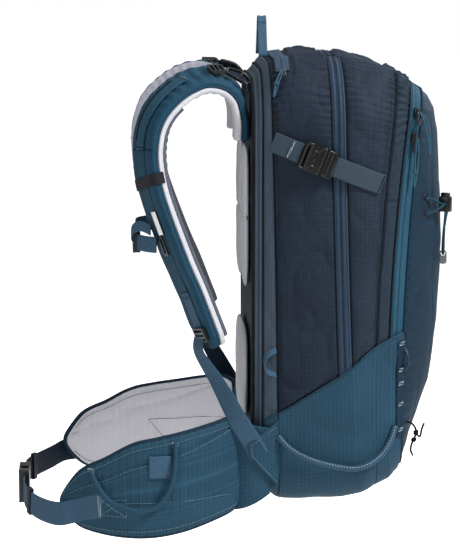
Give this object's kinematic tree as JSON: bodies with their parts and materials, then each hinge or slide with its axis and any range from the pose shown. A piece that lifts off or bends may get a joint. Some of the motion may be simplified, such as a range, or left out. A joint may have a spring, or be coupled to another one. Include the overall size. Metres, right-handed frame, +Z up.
{
  "type": "ski backpack",
  "caption": "Soft ski touring backpack with shoulder harness, padded hip belt, buckled straps, zipped compartments and a haul loop.",
  "frame": {"origin": "inside top of the haul loop, where the bag hangs", "axes": "+Z up, +Y from the bag toward the wearer, +X to the wearer's right"},
  "size_m": [0.3551, 0.5415, 0.623],
  "materials": {
    "navy_ripstop": "matt ripstop weave",
    "teal_ripstop": "matt ripstop weave",
    "dark_teal_fabric": "matt plain weave",
    "zip_tape": "woven tape with coil",
    "lining_mesh": "soft light grey",
    "webbing": "woven webbing",
    "dark_webbing": "woven webbing",
    "black_plastic": "satin moulded",
    "elastic": "ribbed elastic",
    "cord": "braided cord",
    "sheet": "smooth sheet",
    "alloy": "brushed bar",
    "grey_plastic": "satin moulded",
    "metal": "dark plated",
    "tag": "woven label"
  },
  "bodies": {
    "bag": {"back_panel": "navy_ripstop", "frame_sheet": "sheet", "stays": "alloy", "rear_zip": "zip_tape", "rear_gusset": "navy_ripstop", "main_zip": "zip_tape", "front_gusset": "navy_ripstop", "pocket_zip": "zip_tape", "top_zip": "zip_tape", "pocket_front": "dark_teal_fabric", "divider": "navy_ripstop", "boot": "teal_ripstop", "upper_pads": "lining_mesh", "lumbar_pad": "lining_mesh", "haul_loop": "webbing", "strap_l": "teal_ripstop", "strap_r": "teal_ripstop", "linings": "lining_mesh", "strap_keepers": "elastic", "tube_strip": "webbing", "label": "tag", "ladder_locks": "black_plastic", "lower_webs": "webbing", "wings": "teal_ripstop", "lifter_webs": "dark_webbing", "lifter_locks": "black_plastic", "comp_females": "black_plastic", "comp_webs": "webbing", "chest_female": "black_plastic", "chest_web_l": "webbing", "chest_web_r": "webbing", "chest_slides": "black_plastic", "fin_l": "teal_ripstop", "fin_r": "teal_ripstop", "fin_linings": "lining_mesh", "hip_female": "black_plastic", "hip_web_l": "dark_webbing", "hip_web_r": "dark_webbing", "hip_keepers": "elastic", "gear_loop": "webbing", "ski_loops": "teal_ripstop", "daisy_strips": "webbing", "eyelets": "metal", "cord_lock": "black_plastic", "bungee": "cord", "cord_clip": "grey_plastic", "knot_cord": "cord"},
    "slider_top": {"slider_top": "metal", "pull_cord_top": "cord"},
    "slider_pocket_a": {"slider_pocket_a": "metal", "pull_cord_a": "cord"},
    "slider_pocket_b": {"slider_pocket_b": "metal", "pull_cord_b": "cord"},
    "slider_main": {"slider_main": "metal"},
    "slider_back": {"slider_back": "metal"},
    "comp_plug_l": {"comp_male_l": "black_plastic"},
    "comp_plug_r": {"comp_male_r": "black_plastic"},
    "chest_plug": {"chest_male": "black_plastic"},
    "hip_plug": {"hip_male": "black_plastic"},
    "button": {"lock_button": "grey_plastic"}
  },
  "joints": [
    {"name": "top_zip_travel", "type": "hinge", "parent": "bag", "child": "slider_top", "pos_m": [-0.06219, -0.01899, -0.11779], "axis": [0, 1, 0], "range_deg": [0, 36]},
    {"name": "pocket_zip_travel_upper", "type": "hinge", "parent": "bag", "child": "slider_pocket_a", "pos_m": [-0.0705, -0.17948, -0.1275], "axis": [0, 1, 0], "range_deg": [0, 5]},
    {"name": "pocket_zip_travel_lower", "type": "slide", "parent": "bag", "child": "slider_pocket_b", "axis": [0, 0.0842, -0.9965], "range_m": [0, 0.15]},
    {"name": "main_zip_travel", "type": "slide", "parent": "bag", "child": "slider_main", "axis": [0, 0.0357, 0.9994], "range_m": [0, 0.14]},
    {"name": "back_zip_travel", "type": "slide", "parent": "bag", "child": "slider_back", "axis": [0, 0, 1], "range_m": [0, 0.28]},
    {"name": "comp_release_l", "type": "slide", "parent": "bag", "child": "comp_plug_l", "axis": [0, -0.9298, -0.3681], "range_m": [0, 0.02]},
    {"name": "comp_release_r", "type": "slide", "parent": "bag", "child": "comp_plug_r", "axis": [0, -0.9298, -0.3681], "range_m": [0, 0.02]},
    {"name": "chest_release", "type": "slide", "parent": "bag", "child": "chest_plug", "axis": [1, 0, 0], "range_m": [0, 0.018]},
    {"name": "hip_release", "type": "slide", "parent": "bag", "child": "hip_plug", "axis": [1, 0, 0], "range_m": [0, 0.022]},
    {"name": "lock_press", "type": "slide", "parent": "bag", "child": "button", "axis": [0, 0, -1], "range_m": [0, 0.0035], "stiffness_N_per_m": 300}
  ]
}
